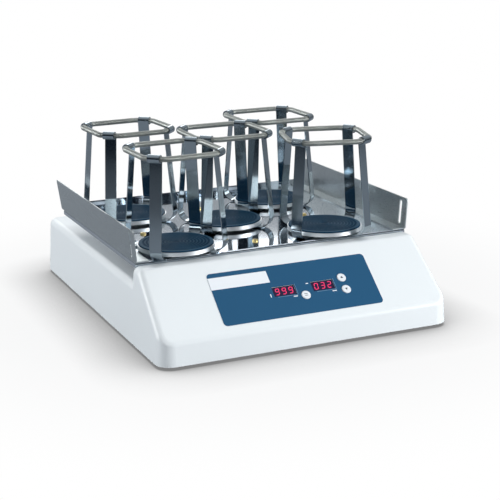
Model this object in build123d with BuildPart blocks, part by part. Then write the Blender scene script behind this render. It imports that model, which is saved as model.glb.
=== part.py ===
from build123d import *
from math import asin, atan2, cos, degrees, hypot, radians, sin, sqrt, tan
import os

# Orbital shaker. Millimetres, +X to the user's right, +Y to the back, +Z up.
# The origin lies on the table under the middle of the housing.
# At rest the crank points forward, so the platform stands at the front of its orbit.

os.makedirs("parts", exist_ok=True)


def write(part, name):
    part.label = name
    export_step(part, f"parts/{name}.step")


# Housing
housing_width = 398.0
housing_depth = 490.0
housing_corner_radius = 20.0
housing_edge_radius = 9.0
housing_draft = 3.5
housing_wall = 3.0
foot_standoff = 4.5
band_top = 33.0
panel_slope = 40.0
crest_top = 103.0
crest_length = 17.0
deck_top = 81.0

# Clearances
running_clearance = 0.03
cap_clearance = 0.35
seat_gap = 0.3
plate_clearance = 0.5

# Orbit and drive: the drive stands under the middle of the clamp pattern
crank_throw = 10.0
clamp_centre_x = -15.0

# Platform
platform_width = 380.0
platform_depth = 310.0
platform_crest_gap = 1.834
platform_top = 106.5
sheet = 1.5
lip_depth = 6.0
upstand_height = 9.0
bend_radius = 2.4

# Side guards
guard_height = 41.0
guard_foot = 18.0
guard_overhang_front = 3.0
guard_overhang_back = 20.0
guard_back_rake = 10.0
guard_lean = 4.5
guard_corner_radius = 3.0
guard_slot_width = 6.4
guard_slot_length = 32.0
guard_slot_setback = 15.5
guard_slot_rise = 20.7

# Flask clamps
clamp_setback = 129.0
clamp_pitch_x = 211.5
clamp_pitch_y = 176.5
clamp_turns = (2.0, -15.0, 0.0, 3.0, 0.0)
strap_width = 16.0
strap_thickness = 1.2
strap_bend_radius = 14.0
leg_circle_radius = 68.0
ring_height = 128.0
ring_circle_radius = 61.0
ring_wire_diameter = 6.4
ring_corner_radius = 14.0
curl_diameter = 10.6
curl_turn = 292.0
disc_radius = 49.3
disc_height = 5.6
disc_sheet = 1.2
disc_hub_radius = 14.0
pad_thickness = 1.8
pad_margin = 0.8
pad_edge = 0.5

# Screws
screw_shank_radius = 2.0
screw_head_radius = 4.0
screw_head_height = 2.4
screw_length = 8.0
screw_play = 0.2

# Control panel, measured on the slope from the middle of the crease: across and up
label_width = 218.5
label_height = 76.5
label_across = -2.2
label_up = 51.2
label_corner = 5.0
label_thickness = 0.4
display_width = 30.8
display_height = 14.2
display_up = 50.6
speed_display_across = -18.8
time_display_across = 35.0
display_module_width = 37.6
display_module_height = 19.0
button_diameter = 12.0
button_rise = 1.3
button_travel = 0.8
button_flange = 1.3
button_flange_thickness = 1.2
button_stem_radius = 3.0
button_stem_length = 2.2
set_button_spot = (7.5, 40.0)
up_button_spot = (64.0, 57.6)
down_button_spot = (64.0, 39.8)
board_width = 140.0
board_height = 52.0
board_across = 20.0
board_up = 49.0
board_thickness = 1.6
board_depth = 12.0
board_boss_radius = 3.5
board_boss_inset = 4.5

# Base plate, feet and the bosses that the base screws into
base_plate_thickness = 2.0
base_plate_recess = 1.5
foot_radius = 15.0
foot_draft_inset = 2.0
foot_inset_x = 34.0
foot_inset_y = 37.0
foot_recess_radius = 5.0
foot_recess_depth = 3.0
boss_radius = 5.0
boss_inset = 23.0
boss_front_inset = 80.0
boss_back_inset = 70.0
vent_length = 40.0
vent_width = 4.0
vent_column_count = 4
vent_row_count = 5

# Drive frame: a bridge of bent plate on the base plate
frame_top = 70.0
frame_plate = 4.0
frame_margin = 3.0
frame_flange = 18.0

# Bearings: bore, outside and width
main_bearing = (7.5, 16.0, 9.0)
guide_bearing = (5.0, 13.0, 8.0)
crank_pin_bearing = (6.0, 14.0, 8.0)
guide_pin_bearing = (4.0, 11.0, 7.0)
bearing_shoulder = 3.0
housing_flange_thickness = 4.0
main_flange_radius = 35.0
main_sleeve_radius = 22.0
main_sleeve_depth = 28.0
guide_flange_radius = 22.0
guide_sleeve_radius = 17.0
guide_sleeve_depth = 16.0
guide_share_x = 0.27638
guide_spread_y = 85.0

# Cranks above the deck
crank_bottom = 84.0
crank_thickness = 7.0
crank_hub_radius = 15.0
crank_pin_length = 11.0
counterweight_radius = 55.0
counterweight_arc = 150.0
guide_crank_radius = 10.0
deck_collar_height = 2.0
deck_collar_wall = 4.0
deck_hole_play = 2.5

# Belt drive below the frame
driven_pulley_radius = 50.9
motor_pulley_radius = driven_pulley_radius / 4
pulley_bottom = 22.0
pulley_height = 12.0
pulley_flange = 2.0
pulley_flange_thickness = 1.2
belt_thickness = 1.6
belt_play = 0.3
motor_gap = 4.0
motor_rim_chamfer = 3.0
motor_radius = 32.0
motor_length = 26.0
motor_shaft_radius = 4.0
bracket_margin = 5.0
bracket_slot_length = 12.0
bracket_slot_inset = 9.0

# Carrier under the platform
carrier_hub_radius = 20.0
carrier_boss_radius = 15.0
carrier_screw_boss_radius = 8.0
carrier_arm_width = 14.0
carrier_arm_height = 8.0
carrier_height = 12.0
carrier_screw_reach_x = 119.0
carrier_screw_reach_y = 98.0

# Power supply and the panel at the back
supply_size = (120.0, 62.0, 34.0)
supply_x = 60.0
supply_gap = 4.0
supply_vent_pitch = 10.0
supply_vent_count = 10
rear_window_width = 112.0
rear_window_height = 40.0
rear_centre_x = 85.0
rear_centre_z = 42.0
rear_panel_lap = 5.0
rear_panel_thickness = 2.0
fitting_flange = 2.0
inlet_across = 32.0
inlet_flange_size = (36.0, 30.0)
inlet_body_size = (27.6, 20.0)
inlet_cavity_size = (24.6, 17.0)
inlet_body_depth = 22.0
inlet_cavity_depth = 16.0
switch_across = -5.0
switch_flange_size = (26.0, 20.0)
switch_body_size = (22.0, 16.0)
switch_cavity_size = (18.0, 13.0)
switch_body_depth = 20.0
switch_cavity_depth = 9.0
rocker_tilt = 7.0
rocker_pivot_depth = 5.6
rocker_play = 0.3
rocker_rise = 2.6
rocker_depth = 2.3
rocker_trunnion_radius = 1.2
rocker_trunnion_length = 1.5
fuse_across = -36.0
fuse_flange_radius = 9.0
fuse_body_radius = 6.5
fuse_cap_radius = 6.0
fuse_body_depth = 28.0


# Housing shell: one moulding, open below, with a sloping panel that ends in a crest before a lower deck
front_y = -housing_depth / 2
crease_y = front_y + (band_top - foot_standoff) * tan(radians(housing_draft))
slope_rise = crest_top - band_top
crest_front_y = crease_y + slope_rise / tan(radians(panel_slope))
crest_back_y = crest_front_y + crest_length
platform_front_y = crest_back_y + platform_crest_gap
platform_back_y = platform_front_y + platform_depth
clamp_centre_y = platform_front_y + clamp_setback
drive_x = clamp_centre_x
drive_y = clamp_centre_y + crank_throw
margin = 60.0
sky = crest_top + margin
panel_plane = Plane(
    origin=(0, crease_y, band_top),
    x_dir=(1, 0, 0),
    z_dir=(0, -sin(radians(panel_slope)), cos(radians(panel_slope))),
)


def drafted_block(inset, height, taper):
    """Tapered block on the housing's footprint, drawn in by a wall."""
    with BuildPart() as block:
        with BuildSketch(Plane.XY.offset(foot_standoff)):
            RectangleRounded(
                housing_width - 2 * inset,
                housing_depth - 2 * inset,
                housing_corner_radius - inset,
            )
        extrude(amount=height - foot_standoff, taper=taper)
    return block.part


def housing_form(inset):
    """The housing's closed form. An inset gives the room inside its wall."""
    edge_radius = housing_edge_radius - inset
    back_of_crest = crest_back_y - inset
    with BuildPart() as deck_block:
        add(drafted_block(inset, deck_top - inset, housing_draft))
        fillet(deck_block.faces().sort_by(Axis.Z)[-1].edges(), edge_radius)
        with BuildSketch(Plane.YZ):
            with BuildLine():
                Polyline(
                    (front_y - margin, 0),
                    (crest_front_y, 0),
                    (crest_front_y, sky),
                    (front_y - margin, sky),
                    close=True,
                )
            make_face()
        extrude(amount=housing_width, both=True, mode=Mode.SUBTRACT)
    slope_y = crease_y + inset * sin(radians(panel_slope))
    slope_z = band_top - inset * cos(radians(panel_slope))
    run = (crest_top - inset - slope_z) / tan(radians(panel_slope))
    with BuildPart() as panel_block:
        add(drafted_block(inset, crest_top - inset, housing_draft))
        with BuildSketch(Plane.YZ):
            with BuildLine():
                Polyline(
                    (slope_y - margin, slope_z - margin * tan(radians(panel_slope))),
                    (slope_y + run, crest_top - inset),
                    (slope_y + run, sky),
                    (front_y - 2 * margin, sky),
                    (front_y - 2 * margin, slope_z - margin * tan(radians(panel_slope))),
                    close=True,
                )
            make_face()
            with BuildLine():
                Polyline(
                    (back_of_crest, -margin),
                    (back_of_crest, sky),
                    (housing_depth, sky),
                    (housing_depth, -margin),
                    close=True,
                )
            make_face()
        extrude(amount=housing_width, both=True, mode=Mode.SUBTRACT)
        slope_face = panel_block.faces().sort_by(Axis((0, 0, 0), panel_plane.z_dir))[-1]
        top_face = panel_block.faces().sort_by(Axis.Z)[-1]
        rear_edges = panel_block.faces().sort_by(Axis.Y)[-1].edges()
        rounded = ShapeList(
            edge for edge in slope_face.edges() + top_face.edges()
            if not any(edge.is_same(rear) for rear in rear_edges)
        )
        fillet(rounded, edge_radius)
    with BuildPart() as form:
        add(deck_block.part)
        add(panel_block.part)
    return form.part


def clamp_spots():
    """Middles of the five clamps and how far each is turned about its own axis."""
    half_x = clamp_pitch_x / 2
    half_y = clamp_pitch_y / 2
    places = {
        "front_left": (-half_x, -half_y),
        "front_right": (half_x, -half_y),
        "centre": (0, 0),
        "back_left": (-half_x, half_y),
        "back_right": (half_x, half_y),
    }
    return {
        name: (clamp_centre_x + across, clamp_centre_y + along, angle)
        for (name, (across, along)), angle in zip(places.items(), clamp_turns)
    }


# Heights that the pieces share
base_plate_bottom = foot_standoff + base_plate_recess
base_plate_top = base_plate_bottom + base_plate_thickness
deck_under = deck_top - housing_wall
crank_top = crank_bottom + crank_thickness
plate_under = platform_top - sheet
carrier_bottom = plate_under - carrier_height

# Where the drive stands: main shaft, guide shafts and the pins above them
main_bore = main_bearing[0]
main_width = main_bearing[2]
guide_bore = guide_bearing[0]
guide_width = guide_bearing[2]
crank_pin_radius, crank_pin_outside, crank_pin_width = crank_pin_bearing
guide_pin_radius, guide_pin_outside, guide_pin_width = guide_pin_bearing
guide_spread_x = guide_share_x * housing_width
frame_length = 2 * (guide_spread_x + guide_flange_radius + frame_margin)
frame_width = 2 * (guide_spread_y + guide_flange_radius - 1)
guide_names = {
    "front_left": (-1, -1),
    "front_right": (1, -1),
    "back_left": (-1, 1),
    "back_right": (1, 1),
}
guide_spots = {
    name: (drive_x + side * guide_spread_x, drive_y + row * guide_spread_y)
    for name, (side, row) in guide_names.items()
}
main_hole_radius = main_bore + deck_hole_play
guide_hole_radius = guide_bore + deck_hole_play

# Spots on the panel and the bosses behind it
button_spots = {
    "set_button": set_button_spot,
    "up_button": up_button_spot,
    "down_button": down_button_spot,
}
display_spots = {
    "speed_display": (speed_display_across, display_up),
    "time_display": (time_display_across, display_up),
}
board_boss_spots = [
    (
        board_across + side * (board_width / 2 - board_boss_inset),
        board_up + row * (board_height / 2 - board_boss_inset),
    )
    for side in (-1, 1)
    for row in (-1, 1)
]
boss_rows = (boss_front_inset - housing_depth / 2, housing_depth / 2 - boss_back_inset)
boss_spots = [
    (side * (housing_width / 2 - boss_inset), row) for side in (-1, 1) for row in boss_rows
]
foot_pitch_x = housing_width - 2 * foot_inset_x
foot_pitch_y = housing_depth - 2 * foot_inset_y
button_hole_radius = button_diameter / 2 + cap_clearance

# Panel at the back: its own plane follows the drafted wall
rear_plane = Plane(
    origin=(
        rear_centre_x,
        housing_depth / 2 - (rear_centre_z - foot_standoff) * tan(radians(housing_draft)),
        rear_centre_z,
    ),
    x_dir=(-1, 0, 0),
    z_dir=(0, cos(radians(housing_draft)), sin(radians(housing_draft))),
)

# Room inside the housing, less the bosses that stay solid
with BuildPart() as housing_room:
    add(housing_form(housing_wall))
    with BuildSketch(Plane.XY.offset(base_plate_top)):
        with Locations(*boss_spots):
            Circle(boss_radius)
    extrude(amount=crest_top, mode=Mode.SUBTRACT)
    with BuildSketch(panel_plane.offset(-board_depth)):
        with Locations(*board_boss_spots):
            Circle(board_boss_radius)
    extrude(amount=board_depth, mode=Mode.SUBTRACT)

with BuildPart() as housing_shell:
    add(housing_form(0.0))
    add(housing_room.part, mode=Mode.SUBTRACT)
    with BuildSketch(Plane.XY.offset(deck_under)):
        with Locations((drive_x, drive_y)):
            Circle(main_hole_radius + deck_collar_wall)
        with Locations(*guide_spots.values()):
            Circle(guide_hole_radius + deck_collar_wall)
    extrude(amount=housing_wall + deck_collar_height)
    with BuildSketch(Plane.XY.offset(deck_under)):
        with Locations((drive_x, drive_y)):
            Circle(main_hole_radius)
        with Locations(*guide_spots.values()):
            Circle(guide_hole_radius)
    extrude(amount=housing_wall + deck_collar_height, mode=Mode.SUBTRACT)
    with BuildSketch(panel_plane):
        with Locations(*display_spots.values()):
            Rectangle(display_width, display_height)
        with Locations(*button_spots.values()):
            Circle(button_hole_radius)
    extrude(amount=-housing_wall, both=True, mode=Mode.SUBTRACT)
    with BuildSketch(rear_plane):
        RectangleRounded(rear_window_width, rear_window_height, 4 * fitting_flange)
    extrude(amount=housing_wall, both=True, mode=Mode.SUBTRACT)
    with BuildSketch(Plane.XY.offset(base_plate_top)):
        with Locations(*boss_spots):
            Circle(screw_shank_radius)
    extrude(amount=screw_length, mode=Mode.SUBTRACT)
write(housing_shell.part, "housing_shell")

# Base plate with rows of vents, closing the housing from below
base_fit = housing_wall + plate_clearance
with BuildPart() as base_plate:
    with BuildSketch(Plane.XY.offset(base_plate_bottom)):
        RectangleRounded(
            housing_width - 2 * base_fit,
            housing_depth - 2 * base_fit,
            housing_corner_radius - base_fit,
        )
        with Locations(*boss_spots):
            Circle(screw_shank_radius + screw_play, mode=Mode.SUBTRACT)
        with Locations((drive_x, drive_y)):
            with GridLocations(
                1.5 * vent_length, 3 * vent_width, round(vent_column_count), round(vent_row_count)
            ):
                SlotOverall(vent_length, vent_width, mode=Mode.SUBTRACT)
    extrude(amount=base_plate_thickness)
write(base_plate.part, "base_plate")

with BuildPart() as rubber_feet:
    with BuildSketch(Plane.XY.offset(base_plate_bottom)):
        with GridLocations(foot_pitch_x, foot_pitch_y, 2, 2):
            Circle(foot_radius)
    extrude(
        amount=-base_plate_bottom,
        taper=degrees(atan2(foot_draft_inset, base_plate_bottom)),
    )
    with BuildSketch(Plane.XY):
        with GridLocations(foot_pitch_x, foot_pitch_y, 2, 2):
            Circle(foot_recess_radius)
    extrude(amount=foot_recess_depth, mode=Mode.SUBTRACT)
write(rubber_feet.part, "rubber_feet")

with BuildPart() as base_screws:
    with BuildSketch(Plane.XY.offset(base_plate_bottom)):
        with Locations(*boss_spots):
            Circle(screw_head_radius)
    extrude(amount=-screw_head_height)
    with BuildSketch(Plane.XY.offset(base_plate_bottom)):
        with Locations(*boss_spots):
            Circle(screw_shank_radius)
    extrude(amount=screw_length)
write(base_screws.part, "base_screws")

# Printed control label on the slope
with BuildPart() as control_label:
    with BuildSketch(panel_plane):
        with Locations((label_across, label_up)):
            RectangleRounded(label_width, label_height, label_corner)
        with Locations(*display_spots.values()):
            Rectangle(display_width, display_height, mode=Mode.SUBTRACT)
        with Locations(*button_spots.values()):
            Circle(button_hole_radius, mode=Mode.SUBTRACT)
    extrude(amount=label_thickness)
write(control_label.part, "control_label")

# Digit displays stand on the control board and fill the windows
for display_name, display_spot in display_spots.items():
    with BuildPart() as display:
        with BuildSketch(panel_plane.offset(-board_depth)):
            with Locations(display_spot):
                Rectangle(display_module_width, display_module_height)
        extrude(amount=board_depth - housing_wall - seat_gap)
        with BuildSketch(panel_plane.offset(-housing_wall - seat_gap)):
            with Locations(display_spot):
                Rectangle(display_width - 2 * cap_clearance, display_height - 2 * cap_clearance)
        extrude(amount=housing_wall)
    write(display.part, display_name)

# Push buttons: cap, flange behind the wall and stem over its switch
flange_level = -housing_wall - seat_gap
stem_level = flange_level - button_flange_thickness - button_stem_length
for button_name, button_spot in button_spots.items():
    with BuildPart() as button:
        with BuildSketch(panel_plane.offset(flange_level)):
            with Locations(button_spot):
                Circle(button_diameter / 2)
        extrude(amount=button_rise - flange_level)
        crown = button.edges().sort_by(Axis((0, 0, 0), panel_plane.z_dir))[-1]
        fillet(crown, button_rise * 0.6)
        with BuildSketch(panel_plane.offset(flange_level)):
            with Locations(button_spot):
                Circle(button_diameter / 2 + button_flange)
        extrude(amount=-button_flange_thickness)
        with BuildSketch(panel_plane.offset(stem_level)):
            with Locations(button_spot):
                Circle(button_stem_radius)
        extrude(amount=button_stem_length)
    write(button.part, button_name)

# Control board with a switch below each button
switch_top = stem_level - button_travel - 0.1
switch_side = button_diameter
with BuildPart() as control_board:
    with BuildSketch(panel_plane.offset(-board_depth)):
        with Locations((board_across, board_up)):
            Rectangle(board_width, board_height)
    extrude(amount=-board_thickness)
    with BuildSketch(panel_plane.offset(-board_depth)):
        with Locations(*button_spots.values()):
            RectangleRounded(switch_side, switch_side, 1)
    extrude(amount=(switch_top + board_depth) * 0.7)
    with BuildSketch(panel_plane.offset(-board_depth)):
        with Locations(*button_spots.values()):
            Circle(button_stem_radius)
    extrude(amount=switch_top + board_depth)
write(control_board.part, "control_board")

# Drive frame: bridge profile with two feet, bored for the bearing housings
half_length = frame_length / 2
leg_foot = half_length + frame_flange
with BuildPart() as drive_frame:
    with BuildSketch(Plane.XZ.offset(-(drive_y + frame_width / 2))):
        with BuildLine():
            Polyline(
                (drive_x - leg_foot, base_plate_top),
                (drive_x - half_length + frame_plate, base_plate_top),
                (drive_x - half_length + frame_plate, frame_top - frame_plate),
                (drive_x + half_length - frame_plate, frame_top - frame_plate),
                (drive_x + half_length - frame_plate, base_plate_top),
                (drive_x + leg_foot, base_plate_top),
                (drive_x + leg_foot, base_plate_top + frame_plate),
                (drive_x + half_length, base_plate_top + frame_plate),
                (drive_x + half_length, frame_top),
                (drive_x - half_length, frame_top),
                (drive_x - half_length, base_plate_top + frame_plate),
                (drive_x - leg_foot, base_plate_top + frame_plate),
                close=True,
            )
        make_face()
    extrude(amount=frame_width)
    with BuildSketch(Plane.XY.offset(frame_top)):
        with Locations((drive_x, drive_y)):
            Circle(main_sleeve_radius)
        with Locations(*guide_spots.values()):
            Circle(guide_sleeve_radius)
    extrude(amount=-frame_plate, mode=Mode.SUBTRACT)
write(drive_frame.part, "drive_frame")


def bearing_seat(spot, flange_radius, sleeve_radius, depth, size):
    """Flanged sleeve on the frame, bored for a bearing at each end."""
    bore, outside, width = size
    with BuildPart() as seat:
        with BuildSketch(Plane.XY.offset(frame_top)):
            with Locations(spot):
                Circle(flange_radius)
        extrude(amount=housing_flange_thickness)
        with BuildSketch(Plane.XY.offset(frame_top)):
            with Locations(spot):
                Circle(sleeve_radius)
        extrude(amount=-depth)
        for level, direction in ((flange_top, -1), (frame_top - depth, 1)):
            with BuildSketch(Plane.XY.offset(level)):
                with Locations(spot):
                    Circle(outside)
            extrude(amount=direction * width, mode=Mode.SUBTRACT)
        with BuildSketch(Plane.XY.offset(flange_top)):
            with Locations(spot):
                Circle(outside - bearing_shoulder)
        extrude(amount=-depth - housing_flange_thickness, mode=Mode.SUBTRACT)
    return seat.part


def bearing(spot, bottom, size):
    """Ball bearing, drawn as one ring, with running clearance on its shaft."""
    bore, outside, width = size
    with BuildPart() as ring_pair:
        with BuildSketch(Plane.XY.offset(bottom)):
            with Locations(spot):
                Circle(outside)
                Circle(bore + running_clearance, mode=Mode.SUBTRACT)
        extrude(amount=width)
    return ring_pair.part


flange_top = frame_top + housing_flange_thickness
with BuildPart() as main_bearing_housing:
    add(bearing_seat(
        (drive_x, drive_y), main_flange_radius, main_sleeve_radius, main_sleeve_depth, main_bearing
    ))
write(main_bearing_housing.part, "main_bearing_housing")

with BuildPart() as guide_bearing_housings:
    for guide_spot in guide_spots.values():
        add(bearing_seat(
            guide_spot, guide_flange_radius, guide_sleeve_radius, guide_sleeve_depth, guide_bearing
        ))
write(guide_bearing_housings.part, "guide_bearing_housings")

with BuildPart() as shaft_bearings:
    add(bearing((drive_x, drive_y), flange_top - main_width, main_bearing))
    add(bearing((drive_x, drive_y), frame_top - main_sleeve_depth, main_bearing))
    for guide_spot in guide_spots.values():
        add(bearing(guide_spot, flange_top - guide_width, guide_bearing))
        add(bearing(guide_spot, frame_top - guide_sleeve_depth, guide_bearing))
write(shaft_bearings.part, "shaft_bearings")

# Frame screws through the feet of the bridge
with BuildPart() as frame_screws:
    with BuildSketch(Plane.XY.offset(base_plate_top + frame_plate)):
        with Locations((drive_x, drive_y)):
            with GridLocations(frame_length + frame_flange, frame_width - 2 * frame_flange, 2, 2):
                Circle(screw_head_radius)
    extrude(amount=screw_head_height)
write(frame_screws.part, "frame_screws")

# Drive shaft with the seats for the driven pulley and the crank
with BuildPart() as drive_shaft:
    with BuildSketch(Plane.XY.offset(pulley_bottom)):
        with Locations((drive_x, drive_y)):
            Circle(main_bore)
    extrude(amount=crank_top - pulley_bottom)
    with BuildSketch(Plane.XY.offset(flange_top + seat_gap)):
        with Locations((drive_x, drive_y)):
            Circle(main_bore + 1)
    extrude(amount=crank_bottom - flange_top - seat_gap)
write(drive_shaft.part, "drive_shaft")

with BuildPart() as driven_pulley:
    with BuildSketch(Plane.XY.offset(pulley_bottom)):
        with Locations((drive_x, drive_y)):
            Circle(driven_pulley_radius)
    extrude(amount=pulley_height)
    for level in (pulley_bottom, pulley_bottom + pulley_height - pulley_flange_thickness):
        with BuildSketch(Plane.XY.offset(level)):
            with Locations((drive_x, drive_y)):
                Circle(driven_pulley_radius + pulley_flange)
        extrude(amount=pulley_flange_thickness)
    with BuildSketch(Plane.XY.offset(pulley_bottom)):
        with Locations((drive_x, drive_y)):
            Circle(main_bore)
            with PolarLocations(driven_pulley_radius * 0.58, 5):
                Circle(driven_pulley_radius * 0.2)
    extrude(amount=pulley_height, mode=Mode.SUBTRACT)
write(driven_pulley.part, "driven_pulley")

# Counterweight: crank plate with the pin in front and a heavy sector behind
with BuildPart() as counterweight:
    with BuildSketch(Plane.XY.offset(crank_bottom)):
        with Locations((drive_x, drive_y)):
            Circle(crank_hub_radius)
            with Locations((0, -crank_throw)):
                Circle(crank_hub_radius)
        with BuildLine():
            sector = CenterArc(
                (drive_x, drive_y),
                counterweight_radius,
                90 - counterweight_arc / 2,
                counterweight_arc,
            )
            Line(sector @ 1, (drive_x, drive_y))
            Line((drive_x, drive_y), sector @ 0)
        make_face()
        with Locations((drive_x, drive_y)):
            Circle(main_bore, mode=Mode.SUBTRACT)
    extrude(amount=crank_thickness)
    with BuildSketch(Plane.XY.offset(crank_top)):
        with Locations((clamp_centre_x, clamp_centre_y)):
            Circle(crank_pin_radius)
    extrude(amount=crank_pin_length)
write(counterweight.part, "counterweight")

# Guide cranks: the same throw, so the platform cannot turn
for guide_name, (spot_x, spot_y) in guide_spots.items():
    with BuildPart() as guide_crank:
        with BuildSketch(Plane.XY.offset(crank_bottom)):
            with Locations((spot_x, spot_y)):
                Circle(guide_crank_radius)
            with Locations((spot_x, spot_y - crank_throw)):
                Circle(guide_crank_radius)
            with Locations((spot_x, spot_y - crank_throw / 2)):
                Rectangle(2 * guide_crank_radius, crank_throw)
        extrude(amount=crank_thickness)
        with BuildSketch(Plane.XY.offset(frame_top - guide_sleeve_depth)):
            with Locations((spot_x, spot_y)):
                Circle(guide_bore)
        extrude(amount=crank_bottom - frame_top + guide_sleeve_depth)
        with BuildSketch(Plane.XY.offset(crank_top)):
            with Locations((spot_x, spot_y - crank_throw)):
                Circle(guide_pin_radius)
        extrude(amount=crank_pin_length)
    write(guide_crank.part, f"guide_crank_{guide_name}")

# Motor under the frame, its pulley and the flat belt
motor_offset = half_length - frame_plate - motor_gap - motor_radius
motor_x = drive_x + motor_offset
bracket_side = 2 * (motor_radius + bracket_margin)
motor_top = frame_top - 2 * frame_plate
with BuildPart() as motor_bracket:
    with BuildSketch(Plane.XY.offset(motor_top)):
        with Locations((motor_x - motor_gap, drive_y)):
            RectangleRounded(bracket_side, bracket_side, 2 * frame_plate)
            with GridLocations(
                bracket_side - 2 * bracket_slot_inset, bracket_side - 2 * bracket_slot_inset, 2, 2
            ):
                SlotOverall(
                    bracket_slot_length, 2 * (screw_shank_radius + screw_play), mode=Mode.SUBTRACT
                )
    extrude(amount=frame_plate)
write(motor_bracket.part, "motor_bracket")

with BuildPart() as motor:
    with BuildSketch(Plane.XY.offset(motor_top)):
        with Locations((motor_x, drive_y)):
            Circle(motor_radius)
    extrude(amount=-motor_length)
    rim = motor.edges().filter_by(GeomType.CIRCLE).sort_by(Axis.Z)[0]
    chamfer(rim, motor_rim_chamfer)
write(motor.part, "motor")

with BuildPart() as motor_pulley:
    with BuildSketch(Plane.XY.offset(pulley_bottom)):
        with Locations((motor_x, drive_y)):
            Circle(motor_pulley_radius)
    extrude(amount=pulley_height)
    for level in (pulley_bottom, pulley_bottom + pulley_height - pulley_flange_thickness):
        with BuildSketch(Plane.XY.offset(level)):
            with Locations((motor_x, drive_y)):
                Circle(motor_pulley_radius + pulley_flange)
        extrude(amount=pulley_flange_thickness)
    with BuildSketch(Plane.XY.offset(pulley_bottom + pulley_height)):
        with Locations((motor_x, drive_y)):
            Circle(motor_shaft_radius)
    extrude(amount=motor_top - motor_length - seat_gap - pulley_bottom - pulley_height)
write(motor_pulley.part, "motor_pulley")


def belt_outline(play):
    """Outline of the belt's run round both pulleys, held off them by a play."""
    large = driven_pulley_radius + play
    small = motor_pulley_radius + play
    lean = degrees(asin((large - small) / motor_offset))
    with BuildSketch(Plane.XY.offset(pulley_bottom + pulley_flange_thickness + belt_play)) as run:
        with BuildLine():
            front = CenterArc((drive_x, drive_y), large, 90 - lean, 180 + 2 * lean)
            back = CenterArc((motor_x, drive_y), small, -90 - lean, 180 + 2 * lean)
            Line(front @ 1, back @ 0)
            Line(back @ 1, front @ 0)
        make_face()
    return run.sketch


belt_width = pulley_height - 2 * (pulley_flange_thickness + belt_play)
with BuildPart() as drive_belt:
    add(belt_outline(belt_play + belt_thickness))
    extrude(amount=belt_width)
    add(belt_outline(belt_play))
    extrude(amount=belt_width, mode=Mode.SUBTRACT)
write(drive_belt.part, "drive_belt")

# Power supply on the base plate, in front of the frame
supply_length, supply_width, supply_height = supply_size
supply_y = drive_y - frame_width / 2 - supply_gap - supply_width / 2
with BuildPart() as power_supply:
    with BuildSketch(Plane.XY.offset(base_plate_top)):
        with Locations((supply_x, supply_y)):
            RectangleRounded(supply_length, supply_width, 3)
    extrude(amount=supply_height)
    with BuildSketch(Plane.XY.offset(base_plate_top + supply_height)):
        with Locations((supply_x, supply_y)):
            with GridLocations(supply_vent_pitch, supply_width, supply_vent_count, 1):
                SlotOverall(supply_width * 0.7, vent_width, rotation=90)
    extrude(amount=-housing_wall, mode=Mode.SUBTRACT)
write(power_supply.part, "power_supply")

# Panel at the back with its inlet, switch and fuse holder, all sunk in the window
panel_face = rear_plane.offset(-housing_wall)
with BuildPart() as rear_panel:
    with BuildSketch(panel_face):
        Rectangle(
            rear_window_width + 2 * rear_panel_lap,
            rear_window_height + rear_panel_lap,
        )
        with Locations((inlet_across, 0)):
            Rectangle(*inlet_body_size, mode=Mode.SUBTRACT)
        with Locations((switch_across, 0)):
            Rectangle(*switch_body_size, mode=Mode.SUBTRACT)
        with Locations((fuse_across, 0)):
            Circle(fuse_body_radius, mode=Mode.SUBTRACT)
    extrude(amount=-rear_panel_thickness)
write(rear_panel.part, "rear_panel")

with BuildPart() as power_inlet:
    with BuildSketch(panel_face):
        with Locations((inlet_across, 0)):
            RectangleRounded(*inlet_flange_size, 3)
    extrude(amount=fitting_flange)
    with BuildSketch(panel_face):
        with Locations((inlet_across, 0)):
            Rectangle(*inlet_body_size)
    extrude(amount=-inlet_body_depth)
    with BuildSketch(panel_face.offset(fitting_flange)):
        with Locations((inlet_across, 0)):
            RectangleRounded(*inlet_cavity_size, 2)
    extrude(amount=-inlet_cavity_depth, mode=Mode.SUBTRACT)
write(power_inlet.part, "power_inlet")

rocker_level = fitting_flange - rocker_pivot_depth
with BuildPart() as switch_frame:
    with BuildSketch(panel_face):
        with Locations((switch_across, 0)):
            RectangleRounded(*switch_flange_size, 2)
    extrude(amount=fitting_flange)
    with BuildSketch(panel_face):
        with Locations((switch_across, 0)):
            Rectangle(*switch_body_size)
    extrude(amount=-switch_body_depth)
    with BuildSketch(panel_face.offset(fitting_flange)):
        with Locations((switch_across, 0)):
            Rectangle(*switch_cavity_size)
    extrude(amount=-switch_cavity_depth, mode=Mode.SUBTRACT)
    pivot_point = panel_face.from_local_coords((switch_across, 0, rocker_level))
    pivot_plane = Plane(origin=pivot_point, x_dir=panel_face.y_dir, z_dir=panel_face.x_dir)
    with BuildSketch(pivot_plane):
        Circle(rocker_trunnion_radius + running_clearance)
    extrude(
        amount=switch_cavity_size[0] / 2 + rocker_trunnion_length,
        both=True,
        mode=Mode.SUBTRACT,
    )
write(switch_frame.part, "switch_frame")

# Rocker, tipped to its off side at rest
rocker_half = switch_cavity_size[1] / 2 - rocker_play
rocker_profile = (
    (rocker_half * 0.7, rocker_rise),
    (rocker_half - rocker_play, -rocker_depth),
    (0, -rocker_depth * 0.8),
    (-rocker_half + rocker_play, -rocker_depth),
    (-rocker_half * 0.7, rocker_rise),
)
with BuildPart() as power_rocker:
    with BuildSketch(pivot_plane):
        Polygon(*rocker_profile, rotation=-rocker_tilt, align=None)
    extrude(amount=switch_cavity_size[0] / 2 - rocker_play, both=True)
    with BuildSketch(pivot_plane):
        Circle(rocker_trunnion_radius)
    extrude(
        amount=switch_cavity_size[0] / 2 + rocker_trunnion_length - rocker_play,
        both=True,
    )
write(power_rocker.part, "power_rocker")

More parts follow.
